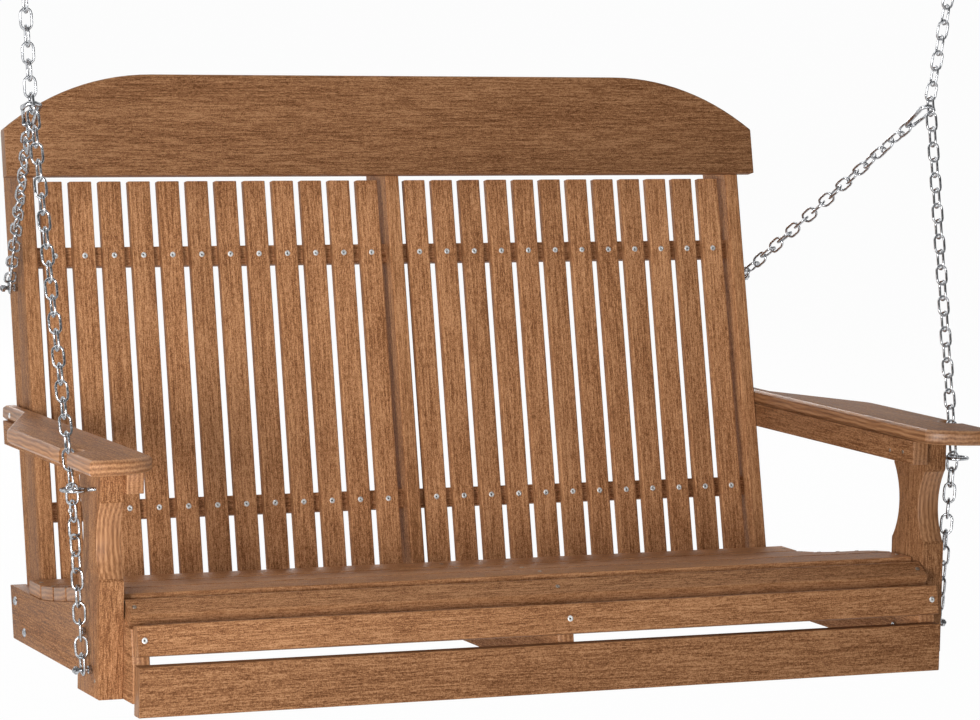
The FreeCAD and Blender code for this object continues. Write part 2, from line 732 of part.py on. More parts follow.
def carabiner_gate():
    """The sprung gate between the tip and the heel."""
    upper, lower = carabiner_path()
    along, side = REAR_DOWN, gate_side()
    tip = upper[0] + along * (GATE_TIP + 3 * SEAT_GAP)
    heel = lower[-1] - along * (GATE_HEEL + GATE_GAP + SEAT_GAP) + side
    return bent_bar([tip, heel], unit(side.cross(along)), GATE_WIRE)


def ceiling_hook():
    """A screw hook: a round screw up into the ceiling, and a bend below it in the plane of the swing."""
    radius = (HOOK_INNER + HOOK_WIRE) / 2
    centre = HOOK_POINT + HANG_UP * radius
    bend = arc_points(centre, X_AXIS * -1, HANG_UP * -1, radius, HOOK_THROAT, HOOK_MOUTH, 7)
    neck = HOOK_POINT + HANG_UP * (radius * 2 + HOOK_NECK)
    shoulder = neck + HANG_UP * HOOK_NECK / 3
    hook = bent_bar(bend[::-1] + [neck, shoulder], unit(X_AXIS.cross(HANG_UP)), HOOK_WIRE)
    tip = HOOK_POINT + HANG_UP * (HOOK_DROP + HOOK_SCREW)
    return hook.fuse(Part.makeCylinder(HOOK_WIRE / 2, (tip - shoulder).Length, shoulder, HANG_UP))


# Hanging: gravity's up direction in seat axes, the hooks above, and the turn into the row's axes
TILT = math.radians(SEAT_TILT)
HANG_UP = Vector(0, -math.sin(TILT), math.cos(TILT))
UPPER_UP = unit(HANG_UP + X_AXIS * math.tan(math.radians(UPPER_LEAN_OUT)))
UPPER_START = JUNCTION - HANG_UP * (WIRE * BAR_FULLNESS + HINGE_PLAY)
HOOK_HOLD = (WIRE + HOOK_WIRE) / 2 * BAR_FULLNESS + HINGE_PLAY
HOOK_POINT = UPPER_START + UPPER_UP * (LINK_PITCH * UPPER_LINKS + hold(WIRE, WIRE)) - HANG_UP * HOOK_HOLD
CEILING_CENTRE = Vector(0, HOOK_POINT.y, HOOK_POINT.z) + HANG_UP * HOOK_DROP


def hang(shape):
    """Turn a shape from seat axes to hanging axes, about the middle of the two ceiling hooks."""
    hung = shape.copy()
    hung.translate(CEILING_CENTRE * -1)
    hung.rotate(Vector(0, 0, 0), X_AXIS, -SEAT_TILT)
    return hung


def both_sides(name, right):
    """The right piece and its mirror image, named by side."""
    return {"right_" + name: right, "left_" + name: mirrored(right)}


def main_chain():
    """From the front bolt up through the guide ring to the junction, one run each side of the ring."""
    lower_up = unit(KINK - FRONT_BOLT)
    start = FRONT_BOLT - lower_up * BOLT_HOLD
    lower = chain_run(start, lower_up, LOWER_LINKS, X_AXIS, 90 / (LOWER_LINKS - 1))
    upper = chain_run(KINK - MAIN_UP * hold(WIRE, WIRE), MAIN_UP, MAIN_LINKS, X_AXIS)
    return lower + upper


def build_parts():
    parts = {
        "crest_rail": crest_rail(),
        "centre_stile": centre_stile(),
        "centre_seat_rail": seat_rail(BOARD / 2, BOARD / 2 + RAIL_THICKNESS),
        "nose_slat": nose_slat(),
        "front_slat": front_slat(),
        "apron": apron(),
        "left_back_slats": group(bay_slats(-STILE_INNER, -BOARD / 2)),
        "right_back_slats": group(bay_slats(BOARD / 2, STILE_INNER)),
    }
    for number, slat in enumerate(seat_slats(), start=1):
        parts["seat_slat_%d" % number] = slat
    parts.update(both_sides("stile", outer_stile()))
    parts.update(both_sides("seat_rail", outer_seat_rail()))
    parts.update(both_sides("upper_back_rail", back_rail(UPPER_RAIL_LOW, BOARD / 2, STILE_INNER)))
    parts.update(both_sides("lower_back_rail", back_rail(LOWER_RAIL_LOW, BOARD / 2, STILE_INNER)))
    parts.update(both_sides("arm", arm()))
    parts.update(both_sides("arm_post", arm_post()))
    parts.update(both_sides("arm_rail", arm_rail()))
    parts.update(both_sides("anchor_nuts", group(anchor_nuts())))
    parts.update(both_sides("anchor_bolts", group([front_bolt(), post_bolt(), rear_bolt()])))
    parts.update(both_sides("frame_bolts", group(frame_bolts(STILE_INNER, RAIL_OUTER))))
    parts["centre_frame_bolts"] = group(frame_bolts(-BOARD / 2, BOARD / 2 + RAIL_THICKNESS))
    parts.update(both_sides("guide_ring", guide_ring()))
    parts.update(both_sides("main_chain", group(main_chain())))
    parts.update(both_sides("upper_chain", group(upper_chain())))
    parts.update(both_sides("carabiner", carabiner()))
    parts.update(both_sides("carabiner_gate", carabiner_gate()))
    parts.update(both_sides("rear_chain", group(rear_chain())))
    parts.update(both_sides("ceiling_hook", ceiling_hook()))
    return parts


def upper_chain():
    """From the main chain's top link up to the ceiling hook."""
    return chain_run(UPPER_START, UPPER_UP, UPPER_LINKS, Vector(0, 1, 0))


def rear_chain():
    """From the narrow end of the carabiner down to the rear bolt, with a quarter turn of twist."""
    start = REAR_CLIP + REAR_DOWN * CLIP_REACH
    return chain_run(start, REAR_DOWN, REAR_LINKS, X_AXIS, 90 / (REAR_LINKS - 1))


def main():
    os.makedirs("parts", exist_ok=True)
    for name, shape in sorted(build_parts().items()):
        hung = hang(shape)
        hung.exportStep("parts/%s.step" % name)
        print(name, "solids", len(hung.Solids), "valid", hung.isValid(), "volume", round(hung.Volume))


main()
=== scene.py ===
"""Looks for the hanging garden swing: lumber, chain, screws, light and camera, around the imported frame."""

import json
import logging
import math
from dataclasses import dataclass, field
from enum import Enum

import bmesh
import bpy
import numpy as np
from mathutils import Matrix, Vector
from mathutils.bvhtree import BVHTree


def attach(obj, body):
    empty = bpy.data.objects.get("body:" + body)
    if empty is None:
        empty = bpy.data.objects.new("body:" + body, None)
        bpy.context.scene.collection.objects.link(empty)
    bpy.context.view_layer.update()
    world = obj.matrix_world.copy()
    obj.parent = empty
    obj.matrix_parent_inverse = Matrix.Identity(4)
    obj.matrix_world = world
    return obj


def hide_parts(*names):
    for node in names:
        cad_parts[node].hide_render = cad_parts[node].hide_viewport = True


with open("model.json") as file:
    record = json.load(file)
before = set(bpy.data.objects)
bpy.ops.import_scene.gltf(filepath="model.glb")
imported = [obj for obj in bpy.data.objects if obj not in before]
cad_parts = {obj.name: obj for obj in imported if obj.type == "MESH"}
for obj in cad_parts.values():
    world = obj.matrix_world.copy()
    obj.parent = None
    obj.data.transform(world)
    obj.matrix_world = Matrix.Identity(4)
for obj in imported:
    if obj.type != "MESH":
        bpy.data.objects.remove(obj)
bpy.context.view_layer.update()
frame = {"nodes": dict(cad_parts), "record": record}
LOG = logging.getLogger("garden_swing")

Pair = tuple[float, float]
Triple = tuple[float, float, float]
MM = 0.001


class Skin(Enum):
    """What a board's face is like: value is how deep its grain is pressed, in millimetres."""

    PRESSED = 0.85
    SMOOTH = 0.15
    CUT = 0.12


class Slot(Enum):
    """Material slots of the record."""

    LUMBER = "lumber"
    ZINC = "zinc"


# What the frame says


def nodes_in(slot: Slot) -> list[str]:
    """Names of the CAD nodes in a material slot.

    Args:
        slot: the slot.

    Returns:
        The names, sorted.
    """
    parts = frame["record"]["subparts"]
    return sorted(part["node"] for part in parts if part["material_slot"] == slot.value)


def body_with(name: str) -> str:
    """The body that carries a CAD node.

    Args:
        name: the node's name.

    Returns:
        The body's name.
    """
    bodies = frame["record"]["behaviour"]["bodies"]
    return next(body for body, names in bodies.items() if name in names)


def node_form(name: str) -> bmesh.types.BMesh:
    """A copy of a CAD node's mesh, with the triangles of each flat face joined.

    Args:
        name: the node's name.

    Returns:
        The mesh, ready for more work.
    """
    form = bmesh.new()
    form.from_mesh(frame["nodes"][name].data)
    bmesh.ops.remove_doubles(form, verts=form.verts, dist=2e-6)
    bmesh.ops.dissolve_limit(form, angle_limit=math.radians(0.6), verts=form.verts, edges=form.edges)
    return form


def islands(form: bmesh.types.BMesh) -> list[list[bmesh.types.BMVert]]:
    """The vertices of each separate solid of a mesh.

    Args:
        form: the mesh.

    Returns:
        One list of vertices for each solid.
    """
    left, found = set(form.verts), []
    while left:
        seed = left.pop()
        group, queue = [seed], [seed]
        while queue:
            for link in queue.pop().link_edges:
                for vert in link.verts:
                    if vert in left:
                        left.remove(vert)
                        group.append(vert)
                        queue.append(vert)
        found.append(group)
    return found


@dataclass(frozen=True)
class Block:
    """Middle, axes and size of one solid, with the longest axis first."""

    middle: Vector
    axes: tuple[Vector, Vector, Vector]
    size: Triple

    @classmethod
    def around(cls, points: list[Vector]) -> "Block":
        """Fits a block to some points.

        Args:
            points: the solid's vertices.

        Returns:
            The block.
        """
        cloud = np.array([tuple(point) for point in points])
        _, _, turn = np.linalg.svd(cloud - cloud.mean(axis=0), full_matrices=False)
        shares = cloud @ turn.T
        size = np.ptp(shares, axis=0)
        order = np.argsort(size)[::-1]
        centre = turn.T @ ((shares.max(axis=0) + shares.min(axis=0)) / 2)
        axes = tuple(Vector(turn[index]) for index in order)
        return cls(Vector(centre), axes, tuple(float(size[index]) for index in order))

    def place(self) -> Matrix:
        """A matrix that puts Z on the longest axis, X on the second and Y on the third."""
        long, wide = self.axes[0], self.axes[1]
        turn = Matrix((wide, long.cross(wide), long)).transposed().to_4x4()
        return Matrix.Translation(self.middle) @ turn


def solids_of(name: str) -> list[list[Vector]]:
    """The corners of each solid of a CAD node.

    Args:
        name: the node's name.

    Returns:
        One list of points for each solid.
    """
    form = node_form(name)
    found = [[vert.co.copy() for vert in group] for group in islands(form)]
    form.free()
    return found


def blocks_of(name: str) -> list[Block]:
    """Blocks around each solid of a CAD node."""
    return [Block.around(points) for points in solids_of(name)]


@dataclass(frozen=True)
class SeatAxes:
    """The seat's own axes: X across, Y back from the apron's face, Z up from its foot, in millimetres."""

    tilt: float = 6.6

    def turn(self) -> Matrix:
        """The turn from the hanging position to the seat's axes."""
        return Matrix.Rotation(math.radians(self.tilt), 3, "X")

    def corner(self) -> Vector:
        """The apron's lower front edge at mid-width, turned to the seat's axes."""
        points = [self.turn() @ vert.co for vert in frame["nodes"]["apron"].data.vertices]
        return Vector((0, min(p.y for p in points), min(p.z for p in points)))

    def hung(self, x: float, y: float, z: float) -> Vector:
        """A place given in the seat's axes, as it hangs."""
        return self.turn().inverted() @ (Vector((x, y, z)) * MM + self.corner())

    def box(self, name: str) -> tuple[Vector, Vector]:
        """A node's least and greatest corner in the seat's axes, in millimetres."""
        corner = self.corner()
        points = [(self.turn() @ v.co - corner) / MM for v in frame["nodes"][name].data.vertices]
        low = Vector([min(p[i] for p in points) for i in range(3)])
        return low, Vector([max(p[i] for p in points) for i in range(3)])


SEAT = SeatAxes()


def publish(
    form: bmesh.types.BMesh,
    name: str,
    finishes: list[bpy.types.Material],
    body: str,
    nodes: tuple[str, ...] = (),
    smooth: bool = True,
) -> bpy.types.Object:
    """Turns a mesh into a piece of the scene.

    Args:
        form: the mesh; it is freed.
        name: the new object's name.
        finishes: its materials, by face index.
        body: the body that carries it.
        nodes: CAD nodes that it stands for.
        smooth: whether its faces are shaded as one curve.

    Returns:
        The object.
    """
    mesh = bpy.data.meshes.new(name)
    bmesh.ops.recalc_face_normals(form, faces=form.faces)
    form.to_mesh(mesh)
    form.free()
    for finish in finishes:
        mesh.materials.append(finish)
    for face in mesh.polygons:
        face.use_smooth = smooth
    made = bpy.data.objects.new(name, mesh)
    bpy.context.scene.collection.objects.link(made)
    if nodes:
        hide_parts(*nodes)
    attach(made, body)
    LOG.info("%s: %d faces", name, len(mesh.polygons))
    return made


def soften(made: bpy.types.Object, width: float, segments: int, angle: float) -> None:
    """Rounds an object's edges.

    Args:
        made: the object.
        width: how far each round reaches, in metres.
        segments: how many flats it has.
        angle: edges sharper than this many degrees are rounded.
    """
    bevel = made.modifiers.new("round", "BEVEL")
    bevel.width = width
    bevel.segments = segments
    bevel.limit_method = "ANGLE"
    bevel.angle_limit = math.radians(angle)
    bevel.harden_normals = True


def lathe(form: bmesh.types.BMesh, profile: list[tuple[float, float]], place: Matrix, steps: int, skin: int = 0) -> None:
    """Adds a turned shape.

    Args:
        form: the mesh that gets it.
        profile: radius and height of each corner, in millimetres.
        place: puts the shape's axis, which is Z, in its place.
        steps: flats round the axis.
        skin: material index of its faces.
    """
    old = set(form.faces)
    verts = [form.verts.new((radius * MM, 0, height * MM)) for radius, height in profile]
    edges = [form.edges.new(pair) for pair in zip(verts, verts[1:])]
    bmesh.ops.spin(
        form, geom=verts + edges, cent=(0, 0, 0), axis=(0, 0, 1), angle=math.tau, steps=steps, use_merge=True
    )
    faces = [face for face in form.faces if face not in old]
    for face in faces:
        face.material_index = skin
    fresh = list({vert for face in faces for vert in face.verts})
    bmesh.ops.transform(form, matrix=place, verts=fresh)
    bmesh.ops.remove_doubles(form, verts=fresh, dist=1e-6)


def facing(point: Vector, outward: Vector) -> Matrix:
    """A place on a face, with Z pointing out of it.

    Args:
        point: where.
        outward: the face's normal.

    Returns:
        The matrix.
    """
    return Matrix.Translation(point) @ outward.to_track_quat("Z", "Y").to_matrix().to_4x4()


def draw(form: bmesh.types.BMesh, edges: list[bmesh.types.BMEdge], shift: Vector) -> list[bmesh.types.BMEdge]:
    """Draws a ring of edges out into a tube.

    Args:
        form: the mesh.
        edges: the ring.
        shift: the way and the length.

    Returns:
        The ring at the far end.
    """
    drawn = bmesh.ops.extrude_edge_only(form, edges=edges)["geom"]
    verts = [item for item in drawn if isinstance(item, bmesh.types.BMVert)]
    bmesh.ops.translate(form, verts=verts, vec=shift)
    far = set(verts)
    return [item for item in drawn if isinstance(item, bmesh.types.BMEdge) and set(item.verts) <= far]


def bend(
    form: bmesh.types.BMesh, edges: list[bmesh.types.BMEdge], centre: Vector, axis: Vector, degrees: float, steps: int
) -> list[bmesh.types.BMEdge]:
    """Turns a ring of edges round an axis into a bent tube.

    Args:
        form: the mesh.
        edges: the ring.
        centre: a point on the axis.
        axis: the axis.
        degrees: how far it turns.
        steps: how many pieces the bend has.

    Returns:
        The ring at the far end.
    """
    turned = bmesh.ops.spin(form, geom=edges, cent=centre, axis=axis, angle=math.radians(degrees), steps=steps)
    return [item for item in turned["geom_last"] if isinstance(item, bmesh.types.BMEdge)]


# Node groups and materials


def new_group(name: str, inputs: dict[str, str], outputs: dict[str, str]) -> bpy.types.NodeTree:
    """Starts a shader node group.

    Args:
        name: the group's name.
        inputs: socket names, each with its socket type.
        outputs: the same for the outputs.

    Returns:
        The group, with its input and output nodes.
    """
    tree = bpy.data.node_groups.new(name, "ShaderNodeTree")
    for label, kind in inputs.items():
        tree.interface.new_socket(label, in_out="INPUT", socket_type=kind)
    for label, kind in outputs.items():
        tree.interface.new_socket(label, in_out="OUTPUT", socket_type=kind)
    tree.nodes.new("NodeGroupInput").name = "in"
    tree.nodes.new("NodeGroupOutput").name = "out"
    return tree


def node(tree: bpy.types.NodeTree, kind: str, inputs: dict | None = None, **settings: object) -> bpy.types.Node:
    """Adds a node and sets its properties and inputs.

    Args:
        tree: the tree that gets the node.
        kind: the node's type name, without its ShaderNode prefix.
        inputs: values or sockets, by input name or number.
        settings: properties.

    Returns:
        The new node.
    """
    made = tree.nodes.new("ShaderNode" + kind)
    for key, value in settings.items():
        setattr(made, key, value)
    for key, value in (inputs or {}).items():
        if isinstance(value, bpy.types.NodeSocket):
            tree.links.new(value, made.inputs[key])
        else:
            made.inputs[key].default_value = value
    return made


def blend(
    tree: bpy.types.NodeTree, share: object, first: object, second: object, colour: bool = False, mode: str = "MIX"
) -> bpy.types.NodeSocket:
    """Mixes two numbers or two colours.

    Args:
        tree: the tree that gets the node.
        share: how much of the second.
        first: a value or a socket.
        second: the same.
        colour: whether they are colours.
        mode: how colours are mixed.

    Returns:
        The mixed output.
    """
    made = tree.nodes.new("ShaderNodeMix")
    made.data_type = "RGBA" if colour else "FLOAT"
    kind = "RGBA" if colour else "VALUE"
    if colour:
        made.blend_type = mode
    sockets = {}
    for socket in made.inputs:
        if socket.name == "Factor" and socket.type == "VALUE" and "share" not in sockets:
            sockets["share"] = socket
        elif socket.name in "AB" and socket.type == kind:
            sockets[socket.name] = socket
    for key, value in (("share", share), ("A", first), ("B", second)):
        if isinstance(value, bpy.types.NodeSocket):
            tree.links.new(value, sockets[key])
        else:
            sockets[key].default_value = value
    return next(socket for socket in made.outputs if socket.type == kind)


def maths(tree: bpy.types.NodeTree, operation: str, *values: object) -> bpy.types.NodeSocket:
    """Adds a sum.

    Args:
        tree: the tree that gets it.
        operation: the operation's name.
        values: numbers or sockets.

    Returns:
        Its output.
    """
    return node(tree, "Math", dict(enumerate(values)), operation=operation).outputs[0]


def spread(tree: bpy.types.NodeTree, source: bpy.types.NodeSocket, low: Pair, high: Pair) -> bpy.types.NodeSocket:
    """Maps a value from one range to another.

    Args:
        tree: the tree that gets the node.
        source: the value.
        low: where the value starts, and what it becomes there.
        high: where it ends, and what it becomes there.

    Returns:
        The mapped value.
    """
    inputs = {"Value": source, "From Min": low[0], "To Min": low[1], "From Max": high[0], "To Max": high[1]}
    return node(tree, "MapRange", inputs).outputs[0]


def ramp(tree: bpy.types.NodeTree, source: bpy.types.NodeSocket, stops: list[tuple[float, Triple]]) -> bpy.types.NodeSocket:
    """Adds a colour ramp.

    Args:
        tree: the tree that gets the ramp.
        source: the value that drives it.
        stops: positions and colours.

    Returns:
        The ramp's colour output.
    """
    made = node(tree, "ValToRGB", {"Fac": source})
    band = made.color_ramp
    while len(band.elements) < len(stops):
        band.elements.new(0.5)
    for element, (position, colour) in zip(band.elements, stops):
        element.position = position
        element.color = (*colour, 1.0)
    return made.outputs["Color"]


def streaks(
    tree: bpy.types.NodeTree, place: bpy.types.NodeSocket, along: float, across: float, detail: float
) -> bpy.types.NodeSocket:
    """Noise drawn out along X.

    Args:
        tree: the tree that gets the nodes.
        place: coordinates in metres.
        along: features in a metre along X.
        across: features in a metre the other ways.
        detail: octaves of finer noise.

    Returns:
        The noise, about 0.3 to 0.7.
    """
    drawn = node(tree, "Mapping", {"Vector": place, "Scale": (along, across, across)})
    inputs = {"Vector": drawn.outputs[0], "Scale": 1.0, "Detail": detail, "Roughness": 0.55}
    return node(tree, "TexNoise", inputs).outputs[0]


@dataclass(frozen=True)
class LumberFinish:
    """Moulded brown garden lumber with a brushed wood grain pressed into its wide faces."""

    # Light grain streaks: partly lighter grain, partly painted highlight where light catches the raised ridges.
    light: Triple = (0.52, 0.268, 0.13)
    middle: Triple = (0.335, 0.152, 0.066)
    dark: Triple = (0.155, 0.06, 0.023)
    # A lighter colour: the cut ends' own colour, and on narrow sides and eased edges a painted highlight where they
    # catch the light.
    fresh: Triple = (0.42, 0.2, 0.085)
    roughness: float = 0.52
    board_step: float = 4.0

    def pressed(self, tree: bpy.types.NodeTree, grain: bpy.types.NodeSocket) -> tuple[bpy.types.NodeSocket, ...]:
        """The parts of the pressed grain.

        Args:
            tree: the group that gets them.
            grain: the place on the board, along, across and through it.

        Returns:
            Long fine lines, short pores, speckle and broad clouds.
        """
        lines = streaks(tree, grain, 16.0, 300.0, 2.0)
        pores = streaks(tree, grain, 95.0, 620.0, 1.0)
        speckle = streaks(tree, grain, 460.0, 460.0, 1.0)
        return lines, pores, speckle, streaks(tree, grain, 1.6, 11.0, 1.0)

    def figure(self) -> bpy.types.NodeTree:
        """The grain's figure, built once; its light streaks are partly grain and partly painted highlight on the raised
        ridges.

        Returns:
            A group that gives a colour, a roughness and a height for a place on a board.
        """
        found = bpy.data.node_groups.get("lumber_figure")
        if found:
            return found
        number, vector, colour = "NodeSocketFloat", "NodeSocketVector", "NodeSocketColor"
        tree = new_group(
            "lumber_figure",
            {"Grain": vector, "Cut": number, "Tone": number},
            {"Colour": colour, "Roughness": number, "Height": number},
        )
        start, end = tree.nodes["in"], tree.nodes["out"]
        grain, cut = start.outputs["Grain"], start.outputs["Cut"]
        lines, pores, speckle, clouds = self.pressed(tree, grain)
        fine = maths(tree, "MULTIPLY_ADD", lines, 0.3, maths(tree, "MULTIPLY", pores, 0.28))
        rest = maths(tree, "MULTIPLY_ADD", speckle, 0.3, maths(tree, "MULTIPLY", clouds, 0.12))
        wave = {"Vector": grain, "Scale": 36.0, "Distortion": 5.0, "Detail": 2.0, "Detail Scale": 0.3}
        layers = node(tree, "TexWave", wave, wave_type="BANDS", bands_direction="Z").outputs["Fac"]
        swirl = spread(tree, layers, (0.0, 0.44), (1.0, 0.58))
        sawn = maths(tree, "MULTIPLY_ADD", swirl, 0.7, maths(tree, "MULTIPLY", lines, 0.3))
        value = blend(tree, cut, maths(tree, "ADD", fine, rest), sawn)
        # The light stop paints ridge highlights as well as lighter grain.
        tone = ramp(tree, value, [(0.41, self.dark), (0.5, self.middle), (0.585, self.light)])
        along = node(tree, "SeparateXYZ", {0: grain}).outputs[0]
        board = maths(tree, "ROUND", maths(tree, "DIVIDE", along, self.board_step))
        own = node(tree, "TexWhiteNoise", {"W": board}, noise_dimensions="1D").outputs["Value"]
        # Painted light and shade of the board, times a random tone of its own.
        share = maths(tree, "MULTIPLY", start.outputs["Tone"], spread(tree, own, (0.0, 0.94), (1.0, 1.06)))
        worn = blend(tree, 1.0, tone, share, colour=True, mode="MULTIPLY")
        rough = spread(tree, fine, (0.22, self.roughness - 0.08), (0.36, self.roughness + 0.1))
        tree.links.new(worn, end.inputs["Colour"])
        tree.links.new(rough, end.inputs["Roughness"])
        tree.links.new(maths(tree, "ADD", fine, rest), end.inputs["Height"])
        return tree

    def material(self, skin: Skin) -> bpy.types.Material:
        """The material for faces of one kind.

        Args:
            skin: the kind of face.

        Returns:
            The material, built once.
        """
        name = f"lumber_{skin.name.lower()}"
        found = bpy.data.materials.get(name)
        if found:
            return found
        made = bpy.data.materials.new(name)
        made.use_nodes = True
        tree = made.node_tree
        shader = tree.nodes["Principled BSDF"]
        shader.inputs["Specular IOR Level"].default_value = 0.3 if skin is Skin.CUT else 0.07
        grain = node(tree, "Attribute", attribute_name="grain").outputs["Vector"]
        # Painted light and shade of the board, read from the mesh.
        shade = node(tree, "Attribute", attribute_name="tone").outputs["Fac"]
        figure = tree.nodes.new("ShaderNodeGroup")
        figure.node_tree = self.figure()
        figure.inputs["Cut"].default_value = 1.0 if skin is Skin.CUT else 0.0
        tree.links.new(grain, figure.inputs["Grain"])
        tree.links.new(shade, figure.inputs["Tone"])
        colour, rough = figure.outputs["Colour"], figure.outputs["Roughness"]
        # Cut ends take their own lighter colour; narrow sides and eased edges take it as a painted highlight.
        if skin is not Skin.PRESSED:
            colour = blend(tree, 0.12, colour, (*self.fresh, 1.0), colour=True)
        if skin is Skin.CUT:
            rough = maths(tree, "MULTIPLY", rough, 0.7)
        relief = {"Height": figure.outputs["Height"], "Distance": skin.value * MM, "Strength": 1.0}
        tree.links.new(node(tree, "Bump", relief).outputs[0], shader.inputs["Normal"])
        tree.links.new(colour, shader.inputs["Base Color"])
        tree.links.new(rough, shader.inputs["Roughness"])
        return made

    def materials(self) -> list[bpy.types.Material]:
        """The materials in the order of the kinds of face."""
        return [self.material(skin) for skin in Skin]


@dataclass(frozen=True)
class MetalFinish:
    """Plated or dull steel with a slightly uneven sheen, and darker rims where the grazing reflection is tinted darker
    as a painted dark reflection.
    """

    name: str
    colour: Triple
    roughness: float
    # How bright the grazing reflection stays: below 1 it paints darker rims, a painted dark reflection.
    rim: float = 0.5

    def wear(self) -> bpy.types.NodeTree:
        """Uneven sheen, darker patches and a fine grit, built once.

        Returns:
            A group that gives a colour, a roughness and a normal for a place on the metal.
        """
        found = bpy.data.node_groups.get("metal_wear")
        if found:
            return found
        number, vector, colour = "NodeSocketFloat", "NodeSocketVector", "NodeSocketColor"
        tree = new_group(
            "metal_wear",
            {"Place": vector, "Colour": colour, "Roughness": number},
            {"Colour": colour, "Roughness": number, "Normal": vector},
        )
        start, end = tree.nodes["in"], tree.nodes["out"]
        place = start.outputs["Place"]
        cloud = node(tree, "TexNoise", {"Vector": place, "Scale": 240.0, "Detail": 3.0}).outputs[0]
        grit = node(tree, "TexNoise", {"Vector": place, "Scale": 1900.0, "Detail": 1.0}).outputs[0]
        rough = maths(tree, "ADD", start.outputs["Roughness"], spread(tree, cloud, (0.3, -0.06), (0.7, 0.1)))
        share = spread(tree, cloud, (0.36, 0.55), (0.56, 1.0))
        tone = blend(tree, 1.0, start.outputs["Colour"], share, colour=True, mode="MULTIPLY")
        bump = node(tree, "Bump", {"Height": grit, "Distance": 0.08 * MM, "Strength": 0.6})
        tree.links.new(tone, end.inputs["Colour"])
        tree.links.new(rough, end.inputs["Roughness"])
        tree.links.new(bump.outputs[0], end.inputs["Normal"])
        return tree

    def material(self) -> bpy.types.Material:
        """The material, built once.

        Returns:
            The material.
        """
        found = bpy.data.materials.get(self.name)
        if found:
            return found
        made = bpy.data.materials.new(self.name)
        made.use_nodes = True
        tree = made.node_tree
        shader = tree.nodes["Principled BSDF"]
        shader.inputs["Metallic"].default_value = 1.0
        # Grazing reflection tinted darker: painted dark rims.
        shader.inputs["Specular Tint"].default_value = (self.rim, self.rim, self.rim, 1.0)
        wear = tree.nodes.new("ShaderNodeGroup")
        wear.node_tree = self.wear()
        wear.inputs["Colour"].default_value = (*self.colour, 1.0)
        wear.inputs["Roughness"].default_value = self.roughness
        tree.links.new(node(tree, "TexCoord").outputs["Object"], wear.inputs["Place"])
        tree.links.new(wear.outputs["Colour"], shader.inputs["Base Color"])
        tree.links.new(wear.outputs["Roughness"], shader.inputs["Roughness"])
        tree.links.new(wear.outputs["Normal"], shader.inputs["Normal"])
        return made


LUMBER = LumberFinish()
ZINC = MetalFinish("zinc_plate", (0.6, 0.61, 0.63), 0.2)
SCREW = MetalFinish("screw_steel", (0.92, 0.92, 0.91), 0.62, 1.0)
DULL = MetalFinish("screw_dull", (0.36, 0.29, 0.23), 0.45, 0.8)
# Near-black finish for the screws' drive recesses: painted shade.
SHADE = MetalFinish("screw_recess", (0.12, 0.1, 0.09), 0.5)


# Sub-assemblies


@dataclass
class Boards:
    """Every board: the CAD shape with softened edges, and a skin for each kind of face."""

    edge: float = 1.1
    arm_edge: float = 3.2
    flush: float = 2.0
    # Brightness of each board, painted light and shade: darker for boards that get less light (crest, apron, nose,
    # front slat, right arm), lighter for the back slats.
    tones: dict[str, float] = field(
        default_factory=lambda: {"crest": 0.76, "apron": 0.8, "nose": 0.8, "front": 0.9, "right_arm": 0.75, "back_slats": 1.08}
    )

    def lay_grain(self, form: bmesh.types.BMesh, group: list[bmesh.types.BMVert], number: int, name: str) -> None:
        """Lays the grain along one board, writes its painted light level, and sorts its faces by what the tools left on
        them.

        Args:
            form: the mesh.
            group: the board's vertices.
            number: the board's number.
            name: its CAD node.
        """
        faces = {face for vert in group for face in vert.link_faces}
        edges = {edge for vert in group for edge in vert.link_edges}
        ends = max(edges, key=lambda edge: edge.calc_length()).verts
        along = (ends[1].co - ends[0].co).normalized()
        thin = max(faces, key=lambda face: face.calc_area()).normal.copy()
        turn = Matrix((along, thin.cross(along), thin))
        shares = [turn @ vert.co for vert in group]
        low = Vector([min(share[i] for share in shares) for i in range(3)])
        high = Vector([max(share[i] for share in shares) for i in range(3)])
        shift = Vector((number * LUMBER.board_step, 0, 0)) - (low + high) / 2
        grain, shade = form.loops.layers.float_vector["grain"], form.loops.layers.float["tone"]
        # The board's painted light and shade, as one brightness factor.
        tone = next((share for word, share in self.tones.items() if word in name), 1.0)
        for face in faces:
            for loop in face.loops:
                loop[grain] = turn @ loop.vert.co + shift
                loop[shade] = tone
            lie = turn @ face.normal
            inset = (high.y - low.y) / 2 - abs((turn @ face.calc_center_median() + shift).y)
            face.material_index = list(Skin).index(self.skin_of(name, lie, inset))

    def skin_of(self, name: str, lie: Vector, inset: float) -> Skin:
        """What a face is like.

        Args:
            name: the board's CAD node.
            lie: the face's normal along, across and through the board.
            inset: how far the face lies inside the board's narrow sides, in metres.

        Returns:
            The kind of face.
        """
        if abs(lie.z) > 0.95:
            return Skin.PRESSED
        if abs(lie.x) > 0.75 or name.endswith("_arm"):
            return Skin.CUT
        if "post" in name:
            return Skin.CUT if inset > self.flush * MM else Skin.PRESSED
        return Skin.SMOOTH

    def build_one(self, name: str, number: int) -> int:
        """Builds one board or one set of slats.

        Args:
            name: its CAD node.
            number: number of its first board.

        Returns:
            The number for the next board.
        """
        form = node_form(name)
        form.normal_update()
        form.loops.layers.float_vector.new("grain")
        form.loops.layers.float.new("tone")
        groups = islands(form)
        for step, group in enumerate(groups):
            self.lay_grain(form, group, number + step, name)
        made = publish(form, f"{name}_board", LUMBER.materials(), body_with(name), (name,))
        if name.endswith("_arm"):
            soften(made, self.arm_edge * MM, 3, 24.0)
        else:
            soften(made, self.edge * MM, 2, 18.0)
        return number + len(groups)

    def build(self) -> None:
        """Builds every board."""
        number = 1
        for name in nodes_in(Slot.LUMBER):
            number = self.build_one(name, number)


